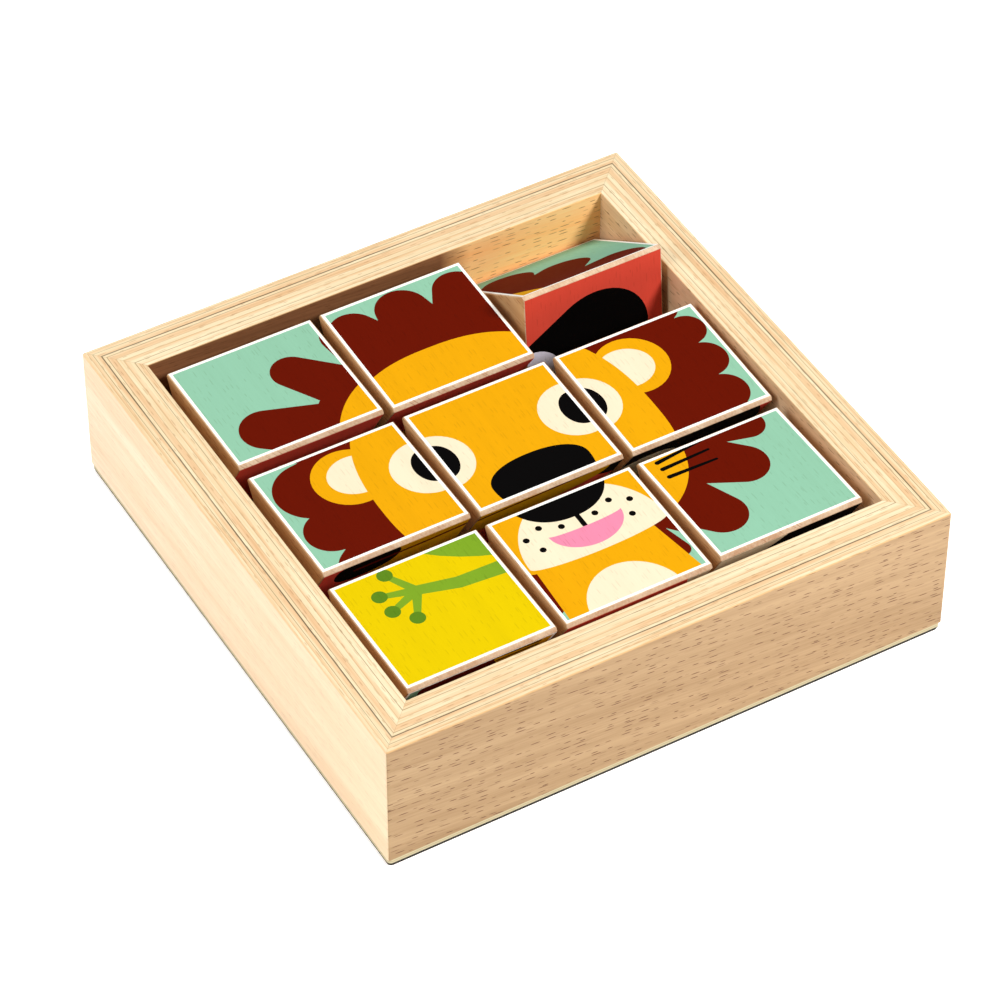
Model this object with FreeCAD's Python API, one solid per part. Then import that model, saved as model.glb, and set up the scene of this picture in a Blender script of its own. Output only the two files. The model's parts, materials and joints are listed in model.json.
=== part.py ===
import FreeCAD, Part
import math
import os

# A picture puzzle of nine three-sided blocks that turn on axles in a square wooden tray.
# Millimetres. +X runs along the front wall, +Y to the back wall, +Z up.
# The origin is the middle of the tray's underside.

# Tray
tray_side = 210.0
wall_thickness = 16.5
wall_height = 50.5
base_thickness = 3.4
base_inset = 0.3
base_corner = 1.5
base_step = 1.0
base_step_inset = 0.3
outer_easing = 0.8
inner_easing = 0.5

# Blocks: three printed faces, with the sharp corners of the triangle cut off flat
face_width = 50.9
face_length = 54.5
corner_flat = 1.6
block_easing = 0.4
column_pitch = 57.8
row_pitch = 57.8

# Axles and the washers that keep the blocks of a row apart
axle_radius = 4.0
axle_above_base = 32.8
running_clearance = 0.08
socket_depth = 8.5
axle_end_gap = 0.5
spacer_radius = 7.0
spacer_end_gap = 0.3

rows = ("front", "middle", "back")
columns = ("left", "centre", "right")

# How far each row has slid along its axle, and how far each block is turned about it, in degrees
row_shift = {"front": -0.5, "middle": 1.1, "back": 0.9}
rest_turn = {
    "front": (-0.4, 0.8, -1.2),
    "middle": (-0.7, 1.0, 2.1),
    "back": (0.3, 2.3, -35.0),
}

# Worked out from the above
outer_half = tray_side / 2
inner_half = outer_half - wall_thickness
axle_height = base_thickness + axle_above_base
face_distance = (face_width + 2 * corner_flat) / (2 * math.sqrt(3))
axle_length = 2 * (inner_half + socket_depth - axle_end_gap)
spacer_width = column_pitch - face_length - 2 * spacer_end_gap
x_axis = FreeCAD.Vector(1, 0, 0)


def row_y(row):
    return (rows.index(row) - 1) * row_pitch


def box_between(low, high):
    size = [b - a for a, b in zip(low, high)]
    return Part.makeBox(*size, FreeCAD.Vector(*low))


def rod(radius, length, x_start, y, z):
    """A cylinder that runs along +X."""
    return Part.makeCylinder(radius, length, FreeCAD.Vector(x_start, y, z), x_axis)


def edges_where(shape, test):
    """The straight edges of a shape whose two end points both pass the test."""
    return [e for e in shape.Edges if len(e.Vertexes) == 2 and all(test(v.Point) for v in e.Vertexes)]


def wall_ring():
    """All four walls as one square ring, with its edges eased."""
    top = base_thickness + wall_height
    ring = box_between((-outer_half, -outer_half, base_thickness), (outer_half, outer_half, top))
    hollow = box_between((-inner_half, -inner_half, 0), (inner_half, inner_half, top + 1))
    ring = ring.cut(hollow)

    def on_outside(point):
        return max(abs(point.x), abs(point.y)) > outer_half - 0.01

    def on_inner_rim(point):
        return not on_outside(point) and point.z > top - 0.01

    def is_lowest(edge):
        return all(v.Z < base_thickness + 0.01 for v in edge.Vertexes)

    outer_edges = [e for e in edges_where(ring, on_outside) if not is_lowest(e)]
    ring = ring.makeFillet(outer_easing, outer_edges)
    return ring.makeFillet(inner_easing, edges_where(ring, on_inner_rim))


def corner_wedge(turn):
    """The quarter of the plan that one wall fills, cut along the mitres of its two corners."""
    reach = tray_side
    plan = [(0, 0), (-reach, -reach), (reach, -reach), (0, 0)]
    outline = Part.makePolygon([FreeCAD.Vector(x, y, -1) for x, y in plan])
    wedge = Part.Face(outline).extrude(FreeCAD.Vector(0, 0, tray_side))
    wedge.rotate(FreeCAD.Vector(0, 0, 0), FreeCAD.Vector(0, 0, 1), turn)
    return wedge


def walls():
    """Four mitred walls. The left and right ones have a blind socket for each axle."""
    ring = wall_ring()
    for row in rows:
        reach = inner_half + socket_depth
        ring = ring.cut(rod(axle_radius, 2 * reach, -reach, row_y(row), axle_height))
    turns = {"front_wall": 0, "right_wall": 90, "back_wall": 180, "left_wall": 270}
    return {name: ring.common(corner_wedge(turn)).Solids[0] for name, turn in turns.items()}


def rounded_slab(half, low, high):
    """A square slab with its four upright edges rounded."""
    slab = box_between((-half, -half, low), (half, half, high))
    upright = [e for e in slab.Edges if e.Vertexes[0].Z != e.Vertexes[-1].Z]
    return slab.makeFillet(base_corner, upright)


def base_panel():
    """The base: its lowest layer is set in a little all round."""
    half = outer_half - base_inset
    upper = rounded_slab(half, base_step, base_thickness)
    lower = rounded_slab(half - base_step_inset, 0, base_step)
    return upper.fuse(lower).removeSplitter()


def axle(row):
    return rod(axle_radius, axle_length, -axle_length / 2, row_y(row), axle_height)


def spacer(row, x_middle):
    """A washer on the axle, halfway between two blocks."""
    start = x_middle - spacer_width / 2
    washer = rod(spacer_radius, spacer_width, start, row_y(row), axle_height)
    return washer.cut(axle(row))


def block_section():
    """The section across the axle: three faces at the same distance, joined by three narrow flats."""
    corners = []
    for side in range(3):
        turn = math.radians(120 * side)
        for across in (face_width / 2, -face_width / 2):
            y = across * math.cos(turn) - face_distance * math.sin(turn)
            z = across * math.sin(turn) + face_distance * math.cos(turn)
            corners.append(FreeCAD.Vector(-face_length / 2, y, z))
    return Part.Face(Part.makePolygon(corners + corners[:1]))


def block(row, column):
    """One block, bored to run on its axle and turned to the angle at which it rests."""
    prism = block_section().extrude(FreeCAD.Vector(face_length, 0, 0))
    prism = prism.makeFillet(block_easing, prism.Edges)
    prism = prism.cut(rod(axle_radius + running_clearance, 2 * face_length, -face_length, 0, 0))
    place = columns.index(column)
    x = row_shift[row] + (place - 1) * column_pitch
    prism.rotate(FreeCAD.Vector(0, 0, 0), x_axis, rest_turn[row][place])
    prism.translate(FreeCAD.Vector(x, row_y(row), axle_height))
    return prism


def all_pieces():
    pieces = dict(walls())
    pieces["base_panel"] = base_panel()
    for row in rows:
        pieces[f"{row}_axle"] = axle(row)
        for side, step in (("left", -0.5), ("right", 0.5)):
            pieces[f"{row}_{side}_spacer"] = spacer(row, row_shift[row] + step * column_pitch)
        for column in columns:
            pieces[f"block_{row}_{column}"] = block(row, column)
    return pieces


os.makedirs("parts", exist_ok=True)
for name, shape in all_pieces().items():
    shape.exportStep(f"parts/{name}.step")
    print(f"{name}: {shape.Volume / 1000:.2f} cm3, valid {shape.isValid()}, solids {len(shape.Solids)}")
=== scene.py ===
import json
import math

import bpy
from mathutils import Matrix, Vector
from mathutils.geometry import delaunay_2d_cdt


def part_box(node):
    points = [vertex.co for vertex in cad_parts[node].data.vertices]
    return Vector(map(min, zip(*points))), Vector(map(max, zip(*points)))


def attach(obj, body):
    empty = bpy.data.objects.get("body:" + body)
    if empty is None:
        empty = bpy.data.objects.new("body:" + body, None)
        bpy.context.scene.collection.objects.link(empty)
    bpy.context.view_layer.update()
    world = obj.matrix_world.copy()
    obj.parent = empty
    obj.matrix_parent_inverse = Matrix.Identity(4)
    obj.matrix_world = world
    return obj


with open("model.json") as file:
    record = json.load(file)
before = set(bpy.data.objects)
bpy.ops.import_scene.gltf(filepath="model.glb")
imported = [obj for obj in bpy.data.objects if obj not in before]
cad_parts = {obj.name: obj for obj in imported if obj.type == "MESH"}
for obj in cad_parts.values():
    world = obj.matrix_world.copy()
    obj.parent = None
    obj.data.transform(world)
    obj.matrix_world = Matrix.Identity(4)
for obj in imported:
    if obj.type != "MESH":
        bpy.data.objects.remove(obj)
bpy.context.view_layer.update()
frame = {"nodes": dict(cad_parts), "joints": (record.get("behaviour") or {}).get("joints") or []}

mm = 0.001
rowNames = ("front", "middle", "back")
columnNames = ("left", "centre", "right")


def paint(r, g, b):   # a colour as seen on screen, 0 to 255, as the linear values that sockets take
    parts = [c / 255 for c in (r, g, b)]
    return tuple(c / 12.92 if c < 0.04045 else ((c + 0.055) / 1.055) ** 2.4 for c in parts) + (1.0,)


# Node helpers: an input is a value or another node's output

def plug(tree, socket, value):
    if isinstance(value, bpy.types.NodeSocket):
        tree.links.new(value, socket)
    else:
        socket.default_value = value


def addNode(tree, kind, inputs=None, **settings):
    node = tree.nodes.new(kind)
    for name, value in settings.items():
        setattr(node, name, value)
    for key, value in (inputs or {}).items():
        plug(tree, node.inputs[key], value)
    return node


def calc(tree, operation, first, second=0.0):
    return addNode(tree, "ShaderNodeMath", {0: first, 1: second}, operation=operation).outputs[0]


def vectorCalc(tree, operation, first, second):
    return addNode(tree, "ShaderNodeVectorMath", {0: first, 1: second}, operation=operation).outputs[0]


def remap(tree, value, low, high, outLow=0.0, outHigh=1.0):
    inputs = {"Value": value, "From Min": low, "From Max": high, "To Min": outLow, "To Max": outHigh}
    return addNode(tree, "ShaderNodeMapRange", inputs).outputs["Result"]


def mixColor(tree, factor, first, second, blend="MIX"):
    node = addNode(tree, "ShaderNodeMix", data_type="RGBA", blend_type=blend)
    plug(tree, node.inputs[0], factor)
    plug(tree, node.inputs[6], first)    # colour A
    plug(tree, node.inputs[7], second)   # colour B
    return node.outputs[2]


def noise(tree, place, scale, detail=2.0, roughness=0.5):
    inputs = {"Vector": place, "Scale": scale, "Detail": detail, "Roughness": roughness}
    return addNode(tree, "ShaderNodeTexNoise", inputs)


def colorRamp(tree, value, stops):
    node = addNode(tree, "ShaderNodeValToRGB", {"Fac": value})
    points = node.color_ramp.elements
    points.remove(points[1])
    points[0].position, points[0].color = stops[0]
    for position, color in stops[1:]:
        points.new(position).color = color
    return node.outputs["Color"]


def newGroup(name, inputs, outputs):
    tree = bpy.data.node_groups.new(name, "ShaderNodeTree")
    for label, kind, default in inputs:
        socket = tree.interface.new_socket(label, in_out="INPUT", socket_type="NodeSocket" + kind)
        socket.default_value = default
    for label, kind in outputs:
        tree.interface.new_socket(label, in_out="OUTPUT", socket_type="NodeSocket" + kind)
    return tree, tree.nodes.new("NodeGroupInput").outputs, tree.nodes.new("NodeGroupOutput").inputs


def useGroup(tree, group, inputs):
    node = tree.nodes.new("ShaderNodeGroup")
    node.node_tree = group
    for key, value in inputs.items():
        plug(tree, node.inputs[key], value)
    return node.outputs


# Beech: fine streaks along X with short dark ray flecks

grainLook = {   # drift: waves per metre; bend: mm; wide, fine: streaks per metre along and across
    "drift": 22.0, "bend": 1.2, "wide": (5, 130), "fine": (45, 1400),
    "wide share": 0.65, "fine share": 0.35, "contrast": (0.36, 0.64), "relief": 0.4,
}
fleck = {   # along, across: cells per metre; length, width, edge: shares of a cell
    "along": 170, "across": 640, "length": (0.14, 0.42), "width": 0.13,
    "edge": (1.05, 0.7), "strength": (0.15, 0.8),
}


def splitVector(tree, vector):
    return addNode(tree, "ShaderNodeSeparateXYZ", {"Vector": vector}).outputs


def dashes(tree, place):   # thin dashes along X, one in most cells of a flat pattern
    parts = splitVector(tree, place)
    sideways = calc(tree, "ADD", parts["Y"], parts["Z"])
    flat = addNode(tree, "ShaderNodeCombineXYZ", {"X": parts["X"], "Y": sideways}).outputs[0]
    spread = vectorCalc(tree, "MULTIPLY", flat, (fleck["along"], fleck["across"], 0))
    cells = addNode(tree, "ShaderNodeTexVoronoi", {"Vector": spread, "Scale": 1.0}, voronoi_dimensions="2D")
    offset = vectorCalc(tree, "SUBTRACT", spread, cells.outputs["Position"])
    chance = addNode(tree, "ShaderNodeSeparateColor", {"Color": cells.outputs["Color"]}).outputs
    length = remap(tree, chance["Green"], 0, 1, *fleck["length"])
    dashSize = addNode(tree, "ShaderNodeCombineXYZ", {"X": length, "Y": fleck["width"], "Z": 1.0}).outputs[0]
    shaped = vectorCalc(tree, "DIVIDE", offset, dashSize)
    reach = addNode(tree, "ShaderNodeVectorMath", {0: shaped}, operation="LENGTH").outputs["Value"]
    strength = remap(tree, chance["Red"], *fleck["strength"])
    return calc(tree, "MULTIPLY", remap(tree, reach, *fleck["edge"]), strength)


def makeGrain():
    tree, given, out = newGroup("beechGrain", [
        ("Place", "Vector", (0, 0, 0)), ("Pale", "Color", paint(240, 212, 168)),
        ("Dark", "Color", paint(214, 172, 120)), ("Fleck Color", "Color", paint(104, 62, 32)),
        ("Flecks", "Float", 0.6), ("Streaks", "Float", 1.0)],
        [("Color", "Color"), ("Fleck Mask", "Float"), ("Height", "Float")])
    drift = noise(tree, given["Place"], grainLook["drift"], 1.0).outputs["Color"]
    bend = vectorCalc(tree, "SUBTRACT", drift, (0.5, 0.5, 0.5))
    bend = vectorCalc(tree, "MULTIPLY", bend, (0.0, grainLook["bend"] * mm, grainLook["bend"] * mm))
    place = vectorCalc(tree, "ADD", given["Place"], bend)

    def stretched(along, across):
        return vectorCalc(tree, "MULTIPLY", place, (along, across, across))
    wide = noise(tree, stretched(*grainLook["wide"]), 1.0, 3.0).outputs["Fac"]
    fine = noise(tree, stretched(*grainLook["fine"]), 1.0).outputs["Fac"]
    widePart = calc(tree, "MULTIPLY", wide, grainLook["wide share"])
    finePart = calc(tree, "MULTIPLY", fine, grainLook["fine share"])
    streak = remap(tree, calc(tree, "ADD", widePart, finePart), *grainLook["contrast"])
    streak = calc(tree, "MULTIPLY", streak, given["Streaks"])
    wood = mixColor(tree, streak, given["Pale"], given["Dark"])
    mask = calc(tree, "MULTIPLY", dashes(tree, place), given["Flecks"])
    tree.links.new(mixColor(tree, mask, wood, given["Fleck Color"]), out["Color"])
    tree.links.new(mask, out["Fleck Mask"])
    relief = calc(tree, "MULTIPLY", fine, grainLook["relief"])
    tree.links.new(calc(tree, "SUBTRACT", relief, mask), out["Height"])
    return tree


# The layers that show on a board's edge: Y of Place is the depth behind the board's outer face

layerTones = {
    "cream": (233, 219, 184), "peach": (229, 201, 161), "rose": (221, 188, 146),
    "line": (148, 124, 88), "faint": (200, 168, 126), "strong": (104, 88, 60),
}
layerBands = (   # tones through the board's thickness, from its outer face at 0 to its inner face at 1
    (0.0, "peach"), (0.07, "cream"), (0.08, "faint"), (0.09, "peach"), (0.15, "cream"),
    (0.160, "line"), (0.172, "cream"), (0.23, "peach"), (0.28, "rose"), (0.290, "strong"),
    (0.306, "strong"), (0.316, "cream"), (0.366, "cream"), (0.377, "line"), (0.390, "peach"),
    (0.45, "rose"), (0.50, "peach"), (0.515, "faint"), (0.53, "cream"), (0.62, "cream"),
    (0.635, "faint"), (0.65, "peach"), (0.72, "cream"), (0.79, "cream"), (0.803, "line"),
    (0.816, "cream"), (0.90, "peach"), (0.915, "faint"), (0.93, "cream"),
)
layerLook = {   # wander: share of the thickness; fade: how far patches go to cream; joint: its edges in mm
    "waves": (14, 60, 60), "wander": 0.045, "patches": 30.0, "patch edge": (0.35, 0.65),
    "fade": 0.25, "joint": (0.22, 0.06),
}


def makeLayers():
    tree, given, out = newGroup("boardLayers", [
        ("Place", "Vector", (0, 0, 0)), ("Thickness", "Float", 16.5 * mm)],
        [("Color", "Color"), ("Joint", "Float")])
    parts = splitVector(tree, given["Place"])
    waves = vectorCalc(tree, "MULTIPLY", given["Place"], layerLook["waves"])
    slow = noise(tree, waves, 1.0, 3.0).outputs["Fac"]
    wander = calc(tree, "MULTIPLY", calc(tree, "SUBTRACT", slow, 0.5), layerLook["wander"])
    depth = calc(tree, "ADD", calc(tree, "DIVIDE", parts["Y"], given["Thickness"]), wander)
    tones = {name: paint(*shade) for name, shade in layerTones.items()}
    bandColor = colorRamp(tree, depth, [(place, tones[name]) for place, name in layerBands])
    patches = noise(tree, given["Place"], layerLook["patches"], 1.0).outputs["Fac"]
    fade = remap(tree, patches, *layerLook["patch edge"], 0.0, layerLook["fade"])
    tree.links.new(mixColor(tree, fade, bandColor, tones["cream"]), out["Color"])
    beyond = calc(tree, "SUBTRACT", calc(tree, "ABSOLUTE", parts["X"]), wallOuter)
    fromMitre = calc(tree, "ABSOLUTE", calc(tree, "ADD", beyond, parts["Y"]))
    outside, within = (limit * mm for limit in layerLook["joint"])
    tree.links.new(remap(tree, fromMitre, outside, within), out["Joint"])
    return tree


wallOuter = -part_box("front_wall")[0].y
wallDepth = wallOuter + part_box("front_wall")[1].y
grain = makeGrain()
layers = makeLayers()


def newMaterial(name):
    material = bpy.data.materials.new(name)
    material.use_nodes = True
    tree = material.node_tree
    tree.nodes.clear()
    surface = addNode(tree, "ShaderNodeBsdfPrincipled")
    output = addNode(tree, "ShaderNodeOutputMaterial")
    tree.links.new(surface.outputs[0], output.inputs["Surface"])
    return material, tree, surface.inputs


def finishSurface(tree, surface, color, height, look):
    plug(tree, surface["Base Color"], color)
    surface["Roughness"].default_value = look["roughness"]
    surface["Specular IOR Level"].default_value = look["specular"]
    inputs = {"Height": height, "Strength": look["bump"], "Distance": 0.1 * mm}
    tree.links.new(addNode(tree, "ShaderNodeBump", inputs).outputs[0], surface["Normal"])


def steepness(tree, source, axis):   # 1 where the surface faces along an axis, 0 where it runs along it
    return calc(tree, "ABSOLUTE", splitVector(tree, source["Normal"])[axis])


# Turn and slant of the grain are in degrees; "far" tones belong to the end farther along the grain
# The front wall's outer tones are painted darker than the right and back walls', as painted shade on the
# front face, and the left wall's outer tones are paler and whiter, as painted light on the left face
walls = {
    "front_wall": {"turn": 0, "slant": -5, "flecks": 1.0, "pale": (182, 150, 109), "dark": (158, 124, 84),
                   "far pale": (186, 152, 111), "inner pale": (236, 200, 158), "inner dark": (214, 172, 128)},
    "right_wall": {"turn": 90, "slant": -2, "flecks": 0.7, "pale": (220, 184, 138), "dark": (194, 156, 112),
                   "far pale": (220, 184, 138), "inner pale": (238, 204, 164), "inner dark": (214, 174, 132)},
    # The back wall's inner tones are brighter and more orange than the other walls': painted light on its
    # inner face
    "back_wall": {"turn": 180, "slant": 3, "flecks": 0.7, "pale": (220, 184, 138), "dark": (194, 156, 110),
                  "far pale": (216, 180, 134), "inner pale": (255, 208, 144), "inner dark": (255, 188, 118),
                  # The back wall's inner far tones are a painted shadow on the part of its inner face beside
                  # the level blocks
                  "inner far pale": (150, 100, 64), "inner far dark": (122, 78, 48)},
    "left_wall": {"turn": 270, "slant": 1, "flecks": 0.18, "pale": (239, 217, 188), "dark": (224, 192, 154),
                  "far pale": (234, 206, 170), "inner pale": (236, 200, 158), "inner dark": (214, 172, 128)},
}


# Inside is a share of the wall's depth; top and rounding are steepness, 0 upright and 1 flat
wallLook = {
    "roughness": 0.55, "bump": 0.25, "specular": 0.35,
    "inside": (0.9, 0.98), "top": (0.55, 0.9), "rounding": ((0.05, 0.4), (0.97, 0.6)),
}
innerShadowEdge = {"start": 36, "stop": 24}   # mm left of the middle, where the painted shadow on the back wall's inner face begins and where it is full
edgeLook = {   # the layered top edge: its own grain, the dark mitre joint and the sanded rounding
    "pale": (255, 255, 255), "dark": (234, 214, 192), "fleck": (176, 136, 96), "flecks": 0.4,
    "joint": (150, 116, 78), "joint strength": 0.3, "sanded": (240, 190, 126), "sanded strength": 0.45,
}


def wallMaterial(name, look):
    material, tree, surface = newMaterial("beech_" + name)
    source = addNode(tree, "ShaderNodeTexCoord").outputs
    turned = {"Vector": source["Object"], "Rotation": (0, 0, -math.radians(look["turn"])),
              "Location": (0, wallOuter, 0)}
    place = addNode(tree, "ShaderNodeMapping", turned).outputs[0]
    lean = math.radians(look["slant"])
    slanted = {"Vector": place, "Rotation": (0, lean, 0), "Location": (look["turn"], 0, 0)}
    own = addNode(tree, "ShaderNodeMapping", slanted).outputs[0]
    parts = splitVector(tree, place)
    # Each wall's inner face takes its inner tones, brighter than the plain outer tone: painted bounce light
    inside = remap(tree, parts["Y"], *(wallDepth * share for share in wallLook["inside"]))
    farther = remap(tree, parts["X"], -wallOuter, wallOuter)
    pale = mixColor(tree, farther, paint(*look["pale"]), paint(*look["far pale"]))
    # Past this edge the back wall's inner face takes its inner far tones, a painted shadow
    innerShadow = remap(tree, parts["X"], -innerShadowEdge["start"] * mm, -innerShadowEdge["stop"] * mm)
    inner = {}
    for tone in ("pale", "dark"):
        near = look["inner " + tone]
        far = look.get("inner far " + tone, near)
        inner[tone] = mixColor(tree, innerShadow, paint(*near), paint(*far))
    pale = mixColor(tree, inside, pale, inner["pale"])
    dark = mixColor(tree, inside, paint(*look["dark"]), inner["dark"])
    wood = useGroup(tree, grain, {"Place": own, "Pale": pale, "Dark": dark, "Flecks": look["flecks"]})
    edge = useGroup(tree, layers, {"Place": place, "Thickness": wallDepth})
    edgeGrain = useGroup(tree, grain, {
        "Place": place, "Pale": paint(*edgeLook["pale"]), "Dark": paint(*edgeLook["dark"]),
        "Flecks": edgeLook["flecks"], "Fleck Color": paint(*edgeLook["fleck"])})
    edgeColor = mixColor(tree, 1.0, edge["Color"], edgeGrain["Color"], "MULTIPLY")
    joint = calc(tree, "MULTIPLY", edge["Joint"], edgeLook["joint strength"])
    edgeColor = mixColor(tree, joint, edgeColor, paint(*edgeLook["joint"]))
    slope = steepness(tree, source, "Z")
    color = mixColor(tree, remap(tree, slope, *wallLook["top"]), wood["Color"], edgeColor)
    leaves, meets = (remap(tree, slope, *limits) for limits in wallLook["rounding"])
    sanded = calc(tree, "MULTIPLY", calc(tree, "MULTIPLY", leaves, meets), edgeLook["sanded strength"])
    color = mixColor(tree, sanded, color, paint(*edgeLook["sanded"]))
    finishSurface(tree, surface, color, wood["Height"], wallLook)
    return material


def turnedGrain(tree, source, turn, look):
    place = addNode(tree, "ShaderNodeMapping", {"Vector": source["Object"], "Rotation": turn}).outputs[0]
    return useGroup(tree, grain, {
        "Place": place, "Pale": paint(*look["pale"]), "Dark": paint(*look["dark"]),
        "Fleck Color": paint(*look["fleck"]), "Flecks": look["flecks"]})


axleLook = {
    "pale": (214, 172, 124), "dark": (190, 146, 100), "fleck": (104, 62, 32), "flecks": 0.4,
    "roughness": 0.6, "bump": 0.25, "specular": 0.3,
}
washerLook = {
    "pale": (206, 162, 114), "dark": (182, 136, 92), "fleck": (104, 62, 32), "flecks": 0.4,
    "roughness": 0.6, "bump": 0.25, "specular": 0.3,
}


def plainWood(name, turn, look):
    material, tree, surface = newMaterial(name)
    source = addNode(tree, "ShaderNodeTexCoord").outputs
    wood = turnedGrain(tree, source, turn, look)
    finishSurface(tree, surface, wood["Color"], wood["Height"], look)
    return material


baseLook = {   # plies and painted contact shadow: where each tone stands between the underside at 0 and the panel's top at 1; the lowest, near-black band is the painted contact shadow
    "pale": (236, 208, 164), "dark": (220, 184, 136), "fleck": (104, 62, 32), "flecks": 0.5,
    "roughness": 0.65, "bump": 0.25, "specular": 0.3, "upright": (0.8, 0.4),
    # The near-black lowest band of the edge tones is a painted contact shadow under the panel
    "tones": {"contact shadow": (14, 11, 8), "pale": (194, 182, 146), "dull": (164, 148, 114)},
    "pliesAndShadow": ((0.0, "contact shadow"), (0.40, "contact shadow"), (0.42, "pale"), (0.60, "pale"),
              (0.64, "dull"), (0.72, "pale"), (0.94, "pale"), (0.98, "dull")),
}


def baseMaterial():
    material, tree, surface = newMaterial("base_plywood")
    source = addNode(tree, "ShaderNodeTexCoord").outputs
    wood = turnedGrain(tree, source, (0, 0, 0), baseLook)
    height = splitVector(tree, source["Object"])["Z"]
    share = calc(tree, "DIVIDE", height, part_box("base_panel")[1].z)
    tones = {name: paint(*shade) for name, shade in baseLook["tones"].items()}
    pliesAndShadow = colorRamp(tree, share, [(place, tones[name]) for place, name in baseLook["pliesAndShadow"]])
    onEdge = remap(tree, steepness(tree, source, "Z"), *baseLook["upright"])
    color = mixColor(tree, onEdge, wood["Color"], pliesAndShadow)
    finishSurface(tree, surface, color, wood["Height"], baseLook)
    return material


blockLook = {   # end: what the two end faces are multiplied by; ends: how squarely a face looks along X
    "pale": (214, 188, 158), "dark": (186, 146, 112), "fleck": (150, 92, 64), "flecks": 0.7,
    "end": (255, 238, 204), "ends": (0.6, 0.95), "roughness": 0.65, "bump": 0.3, "specular": 0.25,
}


def blockMaterial():
    material, tree, surface = newMaterial("block_beech")
    source = addNode(tree, "ShaderNodeTexCoord").outputs
    wood = turnedGrain(tree, source, (0, 0, quarter), blockLook)
    onEnd = remap(tree, steepness(tree, source, "X"), *blockLook["ends"])
    endGrain = mixColor(tree, 1.0, wood["Color"], paint(*blockLook["end"]), "MULTIPLY")
    color = mixColor(tree, onEnd, wood["Color"], endGrain)
    finishSurface(tree, surface, color, wood["Height"], blockLook)
    return material


def dress(node, material):
    slots = frame["nodes"][node].material_slots
    for slot in slots:
        slot.material = material
    if not slots:
        frame["nodes"][node].data.materials.append(material)


quarter = math.pi / 2
for wall, look in walls.items():
    dress(wall, wallMaterial(wall, look))
dress("base_panel", baseMaterial())
axleWood = plainWood("axle_beech", (0, 0, 0), axleLook)
washerWood = plainWood("washer_beech", (0, quarter, 0), washerLook)
blockWood = blockMaterial()
for row in rowNames:
    dress(row + "_axle", axleWood)
    for side in ("left", "right"):
        dress(f"{row}_{side}_spacer", washerWood)
    for column in columnNames:
        dress(f"block_{row}_{column}", blockWood)
print("wood done")


# Flat shapes for the pictures, in millimetres from the picture's middle

capSteps = 24   # sides of a stroke's round end


def oval(x, y, rx, ry, start=0, stop=360, lean=0.0, power=2.0, steps=56):   # power above 2 squares it off
    points = []
    for i in range(steps + (stop - start < 360)):
        a = math.radians(start + (stop - start) * i / steps)
        px = rx * math.copysign(abs(math.cos(a)) ** (2 / power), math.cos(a))
        py = ry * math.copysign(abs(math.sin(a)) ** (2 / power), math.sin(a))
        t = math.radians(lean)
        points.append((x + px * math.cos(t) - py * math.sin(t), y + px * math.sin(t) + py * math.cos(t)))
    return points


def egg(x, y, rx, up, down, power=2.0):   # an oval with its own height above and below the middle
    return oval(x, y, rx, up, 0, 180, power=power)[:-1] + oval(x, y, rx, down, 180, 360, power=power)[:-1]


def dot(x, y, r):
    return oval(x, y, r, r, steps=20 if r < 4 else 40)


def limb(x0, y0, r0, x1, y1, r1):   # a tapered stroke with round ends
    along = math.atan2(y1 - y0, x1 - x0)
    spread = math.acos(max(-1, min(1, (r0 - r1) / math.hypot(x1 - x0, y1 - y0))))
    points = []
    ends = ((x1, y1, r1, along - spread, along + spread),
            (x0, y0, r0, along + spread, along - spread + 2 * math.pi))
    for x, y, r, first, last in ends:
        for i in range(capSteps + 1):
            a = first + (last - first) * i / capSteps
            points.append((x + r * math.cos(a), y + r * math.sin(a)))
    return points


def stroke(points, radius):
    return [limb(*a, radius, *b, radius) for a, b in zip(points, points[1:])]


def pair(points, middle=0.0):   # a shape and its mirror image
    return [points, [(2 * middle - x, y) for x, y in reversed(points)]]


def maneLobe(x, y, r, root, swell):   # a round-ended lobe that points away from the middle
    return limb(root * x, root * y, swell * r, x, y, r)


# Lion. Ovals are (x, y, half width, half height) and dots (x, y, radius); the mane's lobes run clockwise
lion = {
    "mane": {
        "core": (0, 0, 60, 54), "root": 0.62, "swell": 1.5,
        "lobes": (
            (-1.3, 65.2, 9.6), (20.2, 64.7, 9.0), (39, 60.5, 9.2), (55.5, 48.5, 9.4), (69, 30, 8.8),
            (73.4, 15, 6.9), (71.4, 0, 8.2), (69, -16.5, 8.6), (68.3, -27.7, 6.3), (57.3, -43.2, 8.8),
            (38.5, -59.7, 8.9), (22.2, -66, 3.2), (-31, -62, 11), (-50, -52, 11), (-66, -30, 10.8),
            (-69.5, -10, 9.6), (-66, 10, 13.4), (-65.5, 36.2, 9.2), (-45, 56.7, 7.4), (-20.8, 63.7, 8.9)),
    },
    "chest": ((-22, -40), (-24, -53), (-25.3, -80), (25, -80), (20, -52), (18, -40)),
    "bib": (-1.4, -80, 17, 18.8),
    "head": {"x": -3, "y": -12, "rx": 48.4, "up": 57, "down": 43, "power": 2.5},
    "ears": {"middle": -2.1, "outer": (48.3, 9.2, 13.2), "inner": (45.9, 9.2, 10.2, 9.0)},
    "eyes": {"middle": -1.7, "x": 24.7, "y": 0.8, "white": 12.8, "pupil": (6.1, 8.1), "glance": 1.15},
    "muzzle": {"x": 0.8, "y": -50, "rx": 25.8, "up": 27, "down": 3.6},
    "nose": {"x": 0, "y": -19, "rx": 18.2, "up": 9.3, "down": 17.3, "power": 2.2},
    "lip": (0.7, -34, 0.9, 0.7, -41.3, 0.9),
    "mouth": {"x": 1.1, "y": -40.3, "rx": 13.6, "up": -1.4, "down": 10.3},
    "dots": {"radius": 1.15, "places": ((13.2, -35.3), (19.5, -38.2), (6.3, -38.2), (16.8, -44.4))},
    "whiskers": (   # root, then tip
        (33, -28.5, 0.85, 51, -26.5, 0.5), (33, -32.0, 0.85, 51, -31.3, 0.5),
        (33, -36.2, 0.85, 51, -36.6, 0.5)),
}


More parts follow.
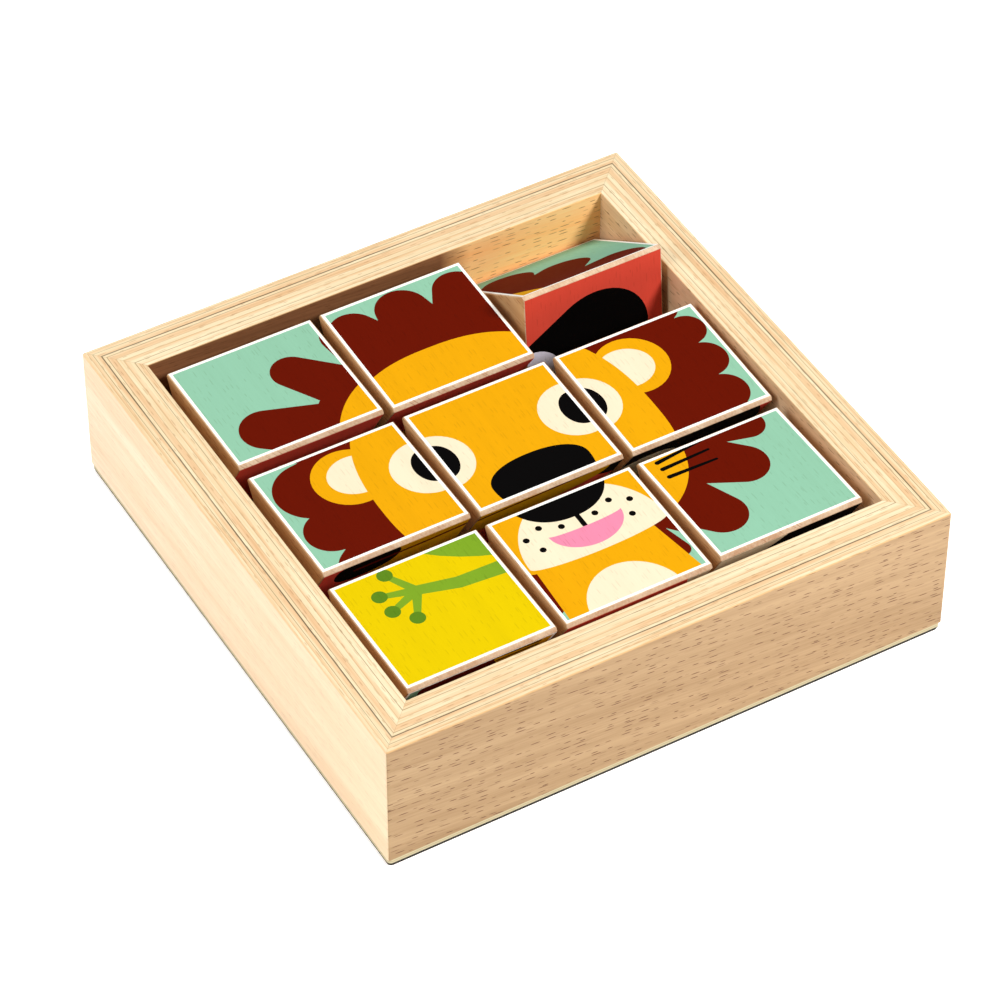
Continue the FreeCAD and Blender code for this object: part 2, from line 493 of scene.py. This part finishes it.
def lionPicture(look):
    mane, ears, eyes, dots = look["mane"], look["ears"], look["eyes"], look["dots"]
    shapes = [("brown", oval(*mane["core"], power=2.2))]
    shapes += [("brown", maneLobe(*lobe, mane["root"], mane["swell"])) for lobe in mane["lobes"]]
    shapes.append(("yellow", look["chest"]))
    shapes.append(("cream", oval(*look["bib"])))
    shapes += [("yellow", s) for s in pair(dot(*ears["outer"]), ears["middle"])]
    shapes += [("cream", s) for s in pair(oval(*ears["inner"]), ears["middle"])]
    shapes.append(("yellow", egg(**look["head"])))
    shapes.append(("cream", egg(**look["muzzle"])))
    shapes.append(("black", egg(**look["nose"])))
    shapes.append(("black", limb(*look["lip"])))
    shapes.append(("pink", egg(**look["mouth"])))
    for place in dots["places"]:
        shapes += [("black", s) for s in pair(dot(*place, dots["radius"]))]
    shapes += [("cream", s) for s in pair(dot(eyes["x"], eyes["y"], eyes["white"]), eyes["middle"])]
    for side in (1, -1):
        x = eyes["middle"] + side * (eyes["x"] - eyes["middle"]) + eyes["glance"]
        shapes.append(("black", oval(x, eyes["y"], *eyes["pupil"])))
    for whisker in look["whiskers"]:
        shapes += [("black", s) for s in pair(limb(*whisker))]
    return "teal", shapes


# Frog, with each part of a pair given once. The arm is a row of (x, y, radius) that ends at the wrist
frog = {
    "body": (0, -78, 25, 42), "belly": (0, -84, 16, 34), "head": (4, 5, 66, 49),
    "eyes": {"green": (34, 47, 23), "white": (34, 47, 16), "pupil": (30, 45, 8)},
    "arm": ((-14, -45.5, 3.4), (-30, -44.4, 3.0), (-44, -43.6, 2.6), (-57.5, -40, 2.1)),
    "fingers": {"angles": (118, 165, 202, 242), "length": 12.3, "root": 1.7, "end": 1.1, "tip": 2.7},
    "cheek": (44, -4, 7), "nostril": (7, 14, 1.8),
    "smile": {"y": 2, "wide": 38, "deep": 18, "start": 200, "step": 14, "points": 11, "radius": 1.3},
}


def frogPicture(look):
    eyes, fingers, smile = look["eyes"], look["fingers"], look["smile"]
    shapes = [("leaf", oval(*look["body"], power=2.4)), ("lime", oval(*look["belly"]))]
    hand = [("leaf", limb(*a, *b)) for a, b in zip(look["arm"], look["arm"][1:])]
    wristX, wristY, _ = look["arm"][-1]
    for angle in fingers["angles"]:
        a = math.radians(angle)
        tip = (wristX + fingers["length"] * math.cos(a), wristY + fingers["length"] * math.sin(a))
        hand.append(("leaf", limb(wristX, wristY, fingers["root"], *tip, fingers["end"])))
        hand.append(("moss", dot(*tip, fingers["tip"])))
    for side in (0, 1):
        shapes += [(ink, pair(points)[side]) for ink, points in hand]
    shapes.append(("leaf", oval(*look["head"], power=2.1)))
    shapes += [("leaf", s) for s in pair(dot(*eyes["green"]))]
    shapes += [("cream", s) for s in pair(dot(*eyes["white"]))]
    shapes += [("black", s) for s in pair(dot(*eyes["pupil"]))]
    shapes += [("pink", s) for s in pair(dot(*look["cheek"]))]
    shapes += [("moss", s) for s in pair(dot(*look["nostril"]))]
    curve = []
    for i in range(smile["points"]):
        a = math.radians(smile["start"] + smile["step"] * i)
        curve.append((smile["wide"] * math.cos(a), smile["y"] + smile["deep"] * math.sin(a)))
    shapes += [("moss", s) for s in stroke(curve, smile["radius"])]
    return "lemon", shapes


# Bird. Ovals are (x, y, half width, half height); the leaves end with how far they lean, in degrees
bird = {
    "body": (52, -22, 32, 66), "body lean": -4, "neck": (34, 34, 22, 55, 48, 20.8),
    "belly": (36, -14, 19, 30), "belly lean": -6,
    "beak": (-24, 22, 46, 18), "beak tip": (-64, 19, 12, 11), "beak lean": 4,
    "beak line": ((-68, 18), (-40, 19), (-12, 23), (14, 26)),
    "eye": {"ring": (29, 41, 12), "pupil": (29, 41, 5.4), "glint": (31, 43.2, 1.7)},
    "leaf size": (15, 6), "leaves": ((-58, -52, 24), (-34, -62, -18), (8, -60, 30)),
}


def birdPicture(look):
    eye, lean = look["eye"], look["beak lean"]
    shapes = [("black", oval(*look["body"], lean=look["body lean"])), ("black", limb(*look["neck"]))]
    shapes.append(("cream", oval(*look["belly"], lean=look["belly lean"])))
    shapes.append(("yellow", oval(*look["beak"], lean=lean, power=2.3)))
    shapes.append(("black", oval(*look["beak tip"], lean=lean, power=2.3)))
    shapes += [("brown", s) for s in stroke(look["beak line"], 1.0)]
    shapes.append(("lavender", dot(*eye["ring"])))
    shapes.append(("black", dot(*eye["pupil"])))
    shapes.append(("cream", dot(*eye["glint"])))
    shapes += [("leaf", oval(x, y, *look["leaf size"], lean=tilt)) for x, y, tilt in look["leaves"]]
    return "red", shapes


inks = {
    "white": (250, 247, 240), "cream": (228, 214, 184), "black": (4, 3, 3), "brown": (95, 15, 0),
    "yellow": (218, 154, 6), "lemon": (212, 184, 0), "lime": (172, 188, 78), "leaf": (116, 152, 35),
    "moss": (85, 123, 26), "teal": (135, 184, 156), "red": (215, 73, 56), "pink": (222, 130, 158),
    "lavender": (214, 208, 222),
}
inkColor = {name: paint(*shade) for name, shade in inks.items()}
pictures = [lionPicture(lion), birdPicture(bird), frogPicture(frog)]   # a block's top, front and back faces
firstPicture = {"block_front_left": 2}   # the picture on top of a block that doesn't show the lion
borders = {"teal": 1.0, "lemon": 1.0, "red": 0}   # white margin in mm, by the picture's ground colour
print("pictures drawn")


# Splits one block's share of a picture into triangles of one ink each. Left and bottom are the share's
# corner in the picture, size is the share's size, and film is half the size of the printed area
def cutFace(picture, left, bottom, size, film):
    background, shapes = picture
    border = borders[background]
    midX, midY = left + size[0] / 2, bottom + size[1] / 2

    def rectangle(halfX, halfY):
        return [(-halfX, -halfY), (halfX, -halfY), (halfX, halfY), (-halfX, halfY)]
    loops = [rectangle(*film), rectangle(film[0] - border, film[1] - border)]
    loopInks = ["white", background]
    for ink, points in shapes:
        moved = [(x - midX, y - midY) for x, y in points]
        xs, ys = [p[0] for p in moved], [p[1] for p in moved]
        if max(min(xs), -max(xs)) < film[0] and max(min(ys), -max(ys)) < film[1]:
            loops.append(moved)
            loopInks.append(ink)
    corners, faces = [], []
    for loop in loops:
        faces.append(list(range(len(corners), len(corners) + len(loop))))
        corners += [Vector(p) for p in loop]
    # Loop 0 is the whole print and loop 1 what its margin leaves; later loops are drawn over earlier ones
    spots, _, triangles, _, _, owners = delaunay_2d_cdt(corners, [], faces, 1, 1e-5)
    kept = [(t, loopInks[max(o)] if 1 in o else "white") for t, o in zip(triangles, owners) if 0 in o]
    used = sorted({i for triangle, _ in kept for i in triangle})
    place = {old: new for new, old in enumerate(used)}
    return [spots[i] for i in used], [([place[i] for i in triangle], ink) for triangle, ink in kept]


printing = {   # mm
    "thickness": 0.05, "setIn": 0.01,
    "easing": 0.5,       # what the block's rounded edges take off a printed face
    "weld": 0.002,
    "grainStep": 400,    # how far apart the grain of two faces of a block is taken
}


def filmTree():   # raises a flat print into a closed film
    tree = bpy.data.node_groups.new("inkFilm", "GeometryNodeTree")
    for label, kind in (("Geometry", "Geometry"), ("Thickness", "Float"), ("Ink", "Material")):
        tree.interface.new_socket(label, in_out="INPUT", socket_type="NodeSocket" + kind)
    tree.interface.new_socket("Geometry", in_out="OUTPUT", socket_type="NodeSocketGeometry")
    given, out = tree.nodes.new("NodeGroupInput").outputs, tree.nodes.new("NodeGroupOutput").inputs
    lift = {"Mesh": given["Geometry"], "Offset Scale": given["Thickness"], "Individual": False}
    raised = addNode(tree, "GeometryNodeExtrudeMesh", lift)
    under = addNode(tree, "GeometryNodeFlipFaces", {"Mesh": given["Geometry"]})
    both = tree.nodes.new("GeometryNodeJoinGeometry")
    tree.links.new(raised.outputs["Mesh"], both.inputs[0])
    tree.links.new(under.outputs["Mesh"], both.inputs[0])
    weld = {"Geometry": both.outputs[0], "Distance": printing["weld"] * mm}
    closed = addNode(tree, "GeometryNodeMergeByDistance", weld)
    real = addNode(tree, "GeometryNodeRealizeInstances", {"Geometry": closed.outputs[0]})
    inked = addNode(tree, "GeometryNodeSetMaterial", {"Geometry": real.outputs[0], "Material": given["Ink"]})
    tree.links.new(inked.outputs[0], out[0])
    return tree


inkLook = {   # the grain that shows through the ink, which the ink's colour is multiplied by
    "pale": (255, 255, 255), "dark": (246, 246, 244), "fleck": (214, 211, 204), "flecks": 0.4,
    "streaks": 0.7, "roughness": 0.6, "bump": 0.12, "specular": 0.03,
}


def inkMaterial():
    material, tree, surface = newMaterial("printed_ink")
    flat = addNode(tree, "ShaderNodeUVMap", uv_map="picture").outputs[0]
    place = addNode(tree, "ShaderNodeMapping", {"Vector": flat, "Rotation": (0, 0, -quarter)}).outputs[0]
    wood = useGroup(tree, grain, {
        "Place": place, "Pale": paint(*inkLook["pale"]), "Dark": paint(*inkLook["dark"]),
        "Fleck Color": paint(*inkLook["fleck"]), "Flecks": inkLook["flecks"], "Streaks": inkLook["streaks"]})
    ink = addNode(tree, "ShaderNodeAttribute", attribute_name="ink").outputs["Color"]
    color = mixColor(tree, 1.0, ink, wood["Color"], "MULTIPLY")
    finishSurface(tree, surface, color, wood["Height"], inkLook)
    return material


printedArea = 4e-4   # square metres: a polygon larger than this, and not at a block's end, is a printed face


# The turn of a block's upper face about its axle, its distance from the axle and half its flat size
def flatFace(node, axle):
    mesh = frame["nodes"][node].data
    large = [p for p in mesh.polygons if p.area > printedArea and abs(p.normal.x) < 0.5]
    top = max(large, key=lambda p: p.normal.z)
    across = Vector((0, top.normal.z, -top.normal.y))
    level = [p for p in large if p.normal.dot(top.normal) > 0.999]
    points = [mesh.vertices[i].co - axle for p in level for i in p.vertices]
    half = (max(abs(p.x) for p in points), max(abs(p.dot(across)) for p in points))
    return math.atan2(-top.normal.y, top.normal.z), points[0].dot(top.normal), half


def printBlock(node, axle, column, row, tree, material):
    turn, distance, half = flatFace(node, axle)
    low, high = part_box(node)
    film = (half[0] / mm, half[1] / mm)
    size = ((high.x - low.x) / mm, 2 * film[1] + printing["easing"])
    left, bottom = (column - 1.5) * size[0], (row - 1.5) * size[1]
    under = distance - printing["setIn"] * mm
    spots, faces, faceInks, flat = [], [], [], []
    for side in range(3):
        picture = pictures[(side + firstPicture.get(node, 0)) % 3]
        found, triangles = cutFace(picture, left, bottom, size, film)
        about = Matrix.Rotation(turn + side * math.radians(120), 3, "X")
        start = len(spots)
        for p in found:
            spots.append(about @ Vector((p.x * mm, p.y * mm, under)) + axle)
            flat.append(((p.x + left + side * printing["grainStep"]) * mm, (p.y + bottom) * mm))
        for triangle, ink in triangles:
            faces.append([start + i for i in triangle])
            faceInks.append(inkColor[ink])
    mesh = bpy.data.meshes.new("flat")
    mesh.from_pydata(spots, [], faces)
    inkData = mesh.attributes.new("ink", "FLOAT_COLOR", "CORNER").data
    inkData.foreach_set("color", [c for ink in faceInks for c in ink * 3])
    uvData = mesh.uv_layers.new(name="picture").data
    uvData.foreach_set("uv", [c for face in faces for i in face for c in flat[i]])
    name = node.replace("block", "print")
    working = bpy.data.objects.new(name, mesh)
    bpy.context.collection.objects.link(working)
    modifier = working.modifiers.new("film", "NODES")
    modifier.node_group = tree
    wanted = {"Thickness": (printing["thickness"] + printing["setIn"]) * mm, "Ink": material}
    for item in tree.interface.items_tree:
        if item.in_out == "INPUT" and item.name in wanted:
            modifier[item.identifier] = wanted[item.name]
    ready = bpy.context.evaluated_depsgraph_get()
    done = bpy.data.meshes.new_from_object(working.evaluated_get(ready))
    working.modifiers.clear()
    working.data = done
    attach(working, node)


raiseFilm = filmTree()
inkSurface = inkMaterial()
for joint in frame["joints"]:
    node = joint["child"]
    rowName, columnName = node.split("_")[1:]
    printBlock(node, Vector(joint["pos_m"]), columnNames.index(columnName), rowNames.index(rowName),
               raiseFilm, inkSurface)
print("blocks printed")


# Floor, light and camera

view = {   # metres and degrees; turn is round from the front, rise is above the floor
    "target": (0.0073, 0.0185, 0.0030), "turn": -30.19, "rise": 44.44, "roll": 0.10,
    "distance": 1.548, "lens": 163.5, "sensor": 36.0,
}
floorLook = {   # size and below in metres
    "size": 8.0, "below": 0.0001, "color": (252, 252, 252), "roughness": 0.9, "specular": 0.1, "glow": 0.4,
}
lamps = {   # place: degrees round from the front, degrees up, metres away; size in metres
    "rearSoft": {"place": (180, 66, 2.2), "size": 1.4, "watts": 21.0},
    "leftSoft": {"place": (-90, 34, 2.0), "size": 1.4, "watts": 23.0},
    "rightKey": {"place": (36, 42, 2.0), "size": 0.5, "watts": 37.5},
}
skyLevel = 0.13


def towards(turn, rise):   # the direction from the middle to a lamp or the camera
    a, e = math.radians(turn), math.radians(rise)
    return Vector((math.sin(a) * math.cos(e), -math.cos(a) * math.cos(e), math.sin(e)))


def lookFrom(place, target, roll=0.0):
    back = (place - target).normalized()
    right = Vector((0, 0, 1)).cross(back).normalized()
    up = back.cross(right)
    turned = Matrix((right, up, back)).transposed().to_4x4()
    turned = turned @ Matrix.Rotation(math.radians(roll), 4, "Z")
    turned.translation = place
    return turned


def addLamp(name, look):
    data = bpy.data.lights.new(name, "AREA")
    data.shape = "DISK"
    data.size = look["size"]
    data.energy = look["watts"]
    lamp = bpy.data.objects.new(name, data)
    turn, rise, away = look["place"]
    lamp.matrix_world = lookFrom(towards(turn, rise) * away, Vector((0, 0, 0)))
    bpy.context.collection.objects.link(lamp)


def addFloor():
    half = floorLook["size"] / 2
    mesh = bpy.data.meshes.new("floor")
    plan = ((-half, -half), (half, -half), (half, half), (-half, half))
    mesh.from_pydata([(x, y, -floorLook["below"]) for x, y in plan], [], [(0, 1, 2, 3)])
    floor = bpy.data.objects.new("floor", mesh)
    bpy.context.collection.objects.link(floor)
    material, tree, surface = newMaterial("pale_floor")
    surface["Base Color"].default_value = paint(*floorLook["color"])
    surface["Roughness"].default_value = floorLook["roughness"]
    surface["Specular IOR Level"].default_value = floorLook["specular"]
    surface["Emission Color"].default_value = paint(255, 255, 255)
    surface["Emission Strength"].default_value = floorLook["glow"]
    # Seen from below, the floor is clear and leaves the underside in view
    output = next(n for n in tree.nodes if n.type == "OUTPUT_MATERIAL")
    lit = output.inputs["Surface"].links[0].from_socket
    facing = addNode(tree, "ShaderNodeNewGeometry")
    clear = addNode(tree, "ShaderNodeBsdfTransparent")
    seen = addNode(tree, "ShaderNodeMixShader")
    tree.links.new(facing.outputs["Backfacing"], seen.inputs[0])
    tree.links.new(lit, seen.inputs[1])
    tree.links.new(clear.outputs[0], seen.inputs[2])
    tree.links.new(seen.outputs[0], output.inputs["Surface"])
    mesh.materials.append(material)


scene = bpy.context.scene
for name, look in lamps.items():
    addLamp(name, look)
addFloor()
world = bpy.data.worlds.new("studio")
world.use_nodes = True
sky = world.node_tree.nodes["Background"].inputs
sky["Color"].default_value = paint(255, 255, 255)
sky["Strength"].default_value = skyLevel
scene.world = world
camera = bpy.data.objects.new("camera", bpy.data.cameras.new("camera"))
camera.data.lens = view["lens"]
camera.data.sensor_width = view["sensor"]
target = Vector(view["target"])
stand = target + towards(view["turn"], view["rise"]) * view["distance"]
camera.matrix_world = lookFrom(stand, target, view["roll"])
bpy.context.collection.objects.link(camera)
scene.camera = camera
scene.view_settings.view_transform = "Standard"
print("stage set")
